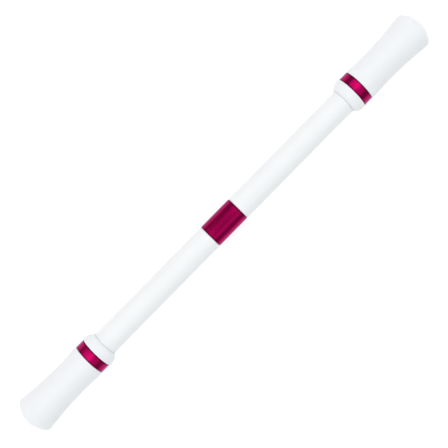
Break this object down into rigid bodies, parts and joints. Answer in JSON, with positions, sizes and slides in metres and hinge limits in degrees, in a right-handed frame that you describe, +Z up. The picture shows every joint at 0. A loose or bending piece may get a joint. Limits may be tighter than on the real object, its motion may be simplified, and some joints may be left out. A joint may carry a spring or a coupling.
{
  "type": "spinning pen",
  "caption": "Finger-spinning ballpoint pen: slim white barrel in two screwed halves, magenta metal centre ring, and a flared weighted pull-off cap with a metal band at each end.",
  "frame": {"origin": "the middle of the centre ring on the pen's long axis, which is the centre of its box", "axes": "+X along the pen towards the writing end; +Z up with the pen lying on a table; +Y across the pen"},
  "size_m": [0.21, 0.0158, 0.0158],
  "materials": {
    "white_barrel": "satin white moulded plastic",
    "white_cap": "satin white moulded plastic, a touch warmer in the shade than the barrel",
    "white_inner": "plain white moulded plastic",
    "magenta_anodised": "turned and dyed magenta, satin gloss",
    "refill_tube": "milky polypropylene",
    "ink": "black paste ink",
    "refill_tip": "turned",
    "hard_ball": "polished hard metal",
    "pad_rubber": "soft sheet",
    "weight_steel": "turned steel slug"
  },
  "bodies": {
    "front_half": {"front_barrel": "white_barrel", "nib_cone": "white_inner", "refill_tube": "refill_tube", "refill_ink": "ink", "refill_tip": "refill_tip", "tip_ball": "hard_ball"},
    "ring": {"centre_ring": "magenta_anodised"},
    "rear_half": {"rear_barrel": "white_barrel", "refill_tail_socket": "white_inner", "rear_plug": "white_inner"},
    "front_cap": {"front_cap_shell": "white_cap", "front_cap_band": "magenta_anodised", "front_cap_inner_sleeve": "white_cap", "front_cap_weight_pad": "pad_rubber", "front_cap_weight": "weight_steel"},
    "rear_cap": {"rear_cap_shell": "white_cap", "rear_cap_band": "magenta_anodised", "rear_cap_inner_sleeve": "white_cap", "rear_cap_weight_pad": "pad_rubber", "rear_cap_weight": "weight_steel"}
  },
  "joints": [
    {"name": "front_cap_pull", "type": "slide", "parent": "front_half", "child": "front_cap", "axis": [1, 0, 0], "range_m": [0, 0.045]},
    {"name": "rear_cap_pull", "type": "slide", "parent": "rear_half", "child": "rear_cap", "axis": [-1, 0, 0], "range_m": [0, 0.045]},
    {"name": "rear_half_advance", "type": "slide", "parent": "front_half", "child": "ring", "axis": [-1, 0, 0], "range_m": [0, 0.005]},
    {"name": "rear_half_turn", "type": "hinge", "parent": "ring", "child": "rear_half", "pos_m": [0, 0, 0], "axis": [-1, 0, 0], "range_deg": [0, 1800]}
  ],
  "couplings": [
    {"joint": "rear_half_advance", "follows": "rear_half_turn", "m_per_rad": 0.00015915}
  ]
}
